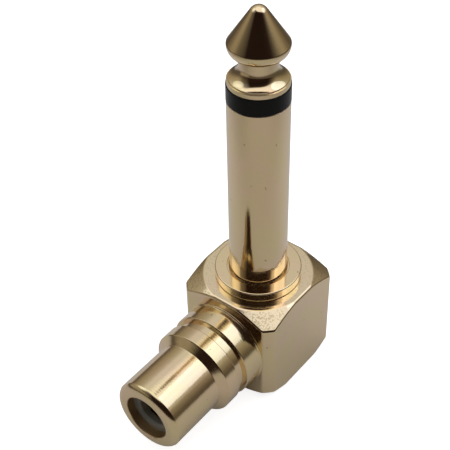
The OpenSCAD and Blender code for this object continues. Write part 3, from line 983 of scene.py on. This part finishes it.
def turned_to_camera(tree, place):
    """Coordinates turned so that X runs to the camera's right and Y away from it."""
    return add(tree, "ShaderNodeMapping", {
        "Vector": place, "Rotation": (0, 0, -math.radians(CAMERA_AZIMUTH))})


def who_looks(tree):
    """1 where the camera itself looks and 0 elsewhere, then the same for metal and glass."""
    path = add(tree, "ShaderNodeLightPath").outputs
    mirrored = add(tree, "ShaderNodeMath", {
        0: path["Is Glossy Ray"], 1: path["Is Transmission Ray"]}, operation="MAXIMUM")
    return path["Is Camera Ray"], mirrored


def make_floor():
    """A pale board on a darker bench, with a painted shadow on the camera's side. To the camera both glow
    white, with the part's shadow.
    """
    material, tree = new_material("pale_matt_board")
    place = add(tree, "ShaderNodeTexCoord").outputs["Object"]
    turned = turned_to_camera(tree, place)
    near = add(tree, "ShaderNodeSeparateXYZ", {0: turned}).outputs["Y"]
    # Painted shadow: the board turns darker and warmer on the camera's side
    shade = add(tree, "ShaderNodeMapRange", {
        "Value": near, "From Min": -CAMERA_SHADOW_FROM * MM, "From Max": -CAMERA_SHADOW_TO * MM},
        interpolation_type="SMOOTHSTEP")
    board = add(tree, "ShaderNodeMix", {
        "Factor": shade.outputs["Result"], "A": hex_colour("#CBCBD0"), "B": hex_colour("#BAB7B1")},
        data_type="RGBA")
    oval = add(tree, "ShaderNodeVectorMath", {0: turned, 1: (BOARD_CLOSER, 1, 1)}, operation="MULTIPLY")
    flat = add(tree, "ShaderNodeVectorMath", {0: oval}, operation="LENGTH")
    fade = add(tree, "ShaderNodeMapRange", {
        "Value": flat.outputs["Value"], "From Min": BOARD_R * MM, "From Max": BENCH_R * MM},
        interpolation_type="SMOOTHSTEP")
    colour = add(tree, "ShaderNodeMix", {
        "Factor": fade.outputs["Result"], "A": board.outputs["Result"], "B": hex_colour("#5A5348")},
        data_type="RGBA")
    camera, metal = who_looks(tree)
    share = add(tree, "ShaderNodeMath", {0: metal, 1: METAL_GLOW}, operation="MULTIPLY")
    glow = add(tree, "ShaderNodeMath", {0: camera, 1: CAMERA_GLOW, 2: share}, operation="MULTIPLY_ADD")
    matt = add(tree, "ShaderNodeBsdfDiffuse", {"Color": colour.outputs["Result"]})
    light = add(tree, "ShaderNodeEmission", {"Strength": glow})
    both = add(tree, "ShaderNodeAddShader", {0: matt, 1: light})
    add(tree, "ShaderNodeOutputMaterial", {"Surface": both})
    mesh = plain_mesh("floor", bmesh.ops.create_grid, x_segments=1, y_segments=1, size=FLOOR_HALF)
    mesh.materials.append(material)
    plain_object("floor", mesh)


def make_world():
    """A room that is dark behind the camera and pale towards the ceiling."""
    world = bpy.data.worlds.new("studio")
    bpy.context.scene.world = world
    world.use_nodes = True
    tree = world.node_tree
    tree.nodes.clear()
    place = add(tree, "ShaderNodeTexCoord").outputs["Generated"]
    axes = add(tree, "ShaderNodeSeparateXYZ", {0: turned_to_camera(tree, place)}).outputs
    # Height as a share of 90 degrees, and bearing as a share of a full turn
    rise = add(tree, "ShaderNodeMath", {0: axes["Z"]}, operation="ARCSINE")
    height = add(tree, "ShaderNodeMath", {0: rise, 1: 2 / math.pi}, operation="MULTIPLY")
    away = add(tree, "ShaderNodeMath", {0: axes["Y"], 1: -1}, operation="MULTIPLY")
    swing = add(tree, "ShaderNodeMath", {0: axes["X"], 1: away}, operation="ARCTAN2")
    bearing = add(tree, "ShaderNodeMath", {0: swing, 1: 1 / math.tau, 2: 0.5}, operation="MULTIPLY_ADD")
    room = add(tree, "ShaderNodeValToRGB", {"Fac": height},
               stops=[(degrees / 90, colour + (1,)) for degrees, colour in ROOM])
    right = add(tree, "ShaderNodeMath", {0: axes["X"], 1: 0}, operation="MAXIMUM")
    sweep = add(tree, "ShaderNodeMath", {0: right, 1: 2}, operation="POWER")
    lean = add(tree, "ShaderNodeMath", {
        0: axes["X"], 1: DARK_LEAN / 90, 2: height}, operation="MULTIPLY_ADD")
    edge = add(tree, "ShaderNodeMath", {0: sweep, 1: DARK_SWEEP / 90, 2: lean}, operation="MULTIPLY_ADD")
    dark = add(tree, "ShaderNodeValToRGB", {"Fac": edge},
               stops=[(degrees / 90, colour + (1,)) for degrees, colour in DARK_SIDE])
    lit = add(tree, "ShaderNodeValToRGB", {"Fac": bearing},
              stops=[(degrees / 360 + 0.5, (part, part, part, 1)) for degrees, part in LIT])
    # Each bearing shows the dark side, the lit room or some of both
    level = add(tree, "ShaderNodeMix", {
        "Factor": lit.outputs["Color"], "A": dark.outputs["Color"], "B": room.outputs["Color"]},
        data_type="RGBA", clamp_factor=False)
    camera, metal = who_looks(tree)
    gain = add(tree, "ShaderNodeMapRange", {"Value": metal, "To Min": MATT_GAIN, "To Max": 1.0})
    lighting = add(tree, "ShaderNodeVectorMath", {
        0: level.outputs["Result"], "Scale": gain.outputs["Result"]}, operation="SCALE")
    # The camera itself sees plain white
    seen = add(tree, "ShaderNodeMix", {"Factor": camera, "A": lighting, "B": (1, 1, 1, 1)}, data_type="RGBA")
    back = add(tree, "ShaderNodeBackground", {"Color": seen.outputs["Result"]})
    add(tree, "ShaderNodeOutputWorld", {"Surface": back})


def make_card():
    """A low card beside the part, which lights it and shows in its metal, but not to the camera."""
    material, tree = new_material("pale_matt_card")
    grain = add(tree, "ShaderNodeTexNoise", {"Scale": CARD_GRAINS})
    colour = add(tree, "ShaderNodeMix", {
        "Factor": grain.outputs["Fac"], "A": hex_colour("#D2C9B4"), "B": hex_colour("#DAD1BC")},
        data_type="RGBA")
    matt = add(tree, "ShaderNodeBsdfDiffuse", {"Color": colour.outputs["Result"]})
    # Its rim fades, so that no hard edge of it shows in the metal
    spot = add(tree, "ShaderNodeSeparateXYZ", {
        0: add(tree, "ShaderNodeTexCoord").outputs["Generated"]}).outputs
    none, full = (0, 0, 0, 1), (1, 1, 1, 1)
    stops = ((0, none), (CARD_SOLID[0], full), (CARD_SOLID[1], full), (1, none))
    across = add(tree, "ShaderNodeValToRGB", {"Fac": spot["X"]}, stops=stops)
    up = add(tree, "ShaderNodeValToRGB", {"Fac": spot["Z"]}, stops=stops)
    solid = add(tree, "ShaderNodeMath", {
        0: across.outputs["Color"], 1: up.outputs["Color"]}, operation="MULTIPLY")
    clear = add(tree, "ShaderNodeBsdfTransparent")
    both = add(tree, "ShaderNodeMixShader", {0: solid, 1: clear, 2: matt})
    add(tree, "ShaderNodeOutputMaterial", {"Surface": both})
    around = math.radians(CAMERA_AZIMUTH + CARD_BEARING)
    towards = Vector((math.sin(around), -math.cos(around), 0)) * CARD_DISTANCE
    along = Vector((math.cos(around), math.sin(around), 0)) * CARD_WIDTH / 2
    towards.z = CARD_FOOT
    rise = Vector((0, 0, CARD_HEIGHT))
    mesh = bpy.data.meshes.new("card")
    corners = [towards - along, towards + along, towards + along + rise, towards - along + rise]
    mesh.from_pydata([corner * MM for corner in corners], [], [(0, 1, 2, 3)])
    mesh.materials.append(material)
    card = plain_object("card", mesh)
    card.visible_camera = False


def make_softbox(name, bearing, height, distance, width, depth, radiance, colour):
    """An oval softbox that faces the part, and looks as bright as its radiance says."""
    data = bpy.data.lights.new(name, "AREA")
    data.shape = "ELLIPSE"
    data.size, data.size_y = width, depth
    # A flat lamp gives off pi times its radiance on each square metre of its oval
    oval = math.pi / 4 * width * depth
    data.energy = math.pi * radiance * oval
    data.color = colour
    lamp = plain_object(name, data)
    around, up = math.radians(CAMERA_AZIMUTH + bearing), math.radians(height)
    towards = Vector((math.sin(around) * math.cos(up), -math.cos(around) * math.cos(up), math.sin(up)))
    lamp.location = towards * distance
    lamp.rotation_euler = towards.to_track_quat("Z", "Y").to_euler()


make_floor()
make_world()
make_softbox("key_softbox", **KEY)
make_softbox("fill_softbox", **FILL)
make_card()

bpy.context.scene.view_settings.view_transform = "Standard"
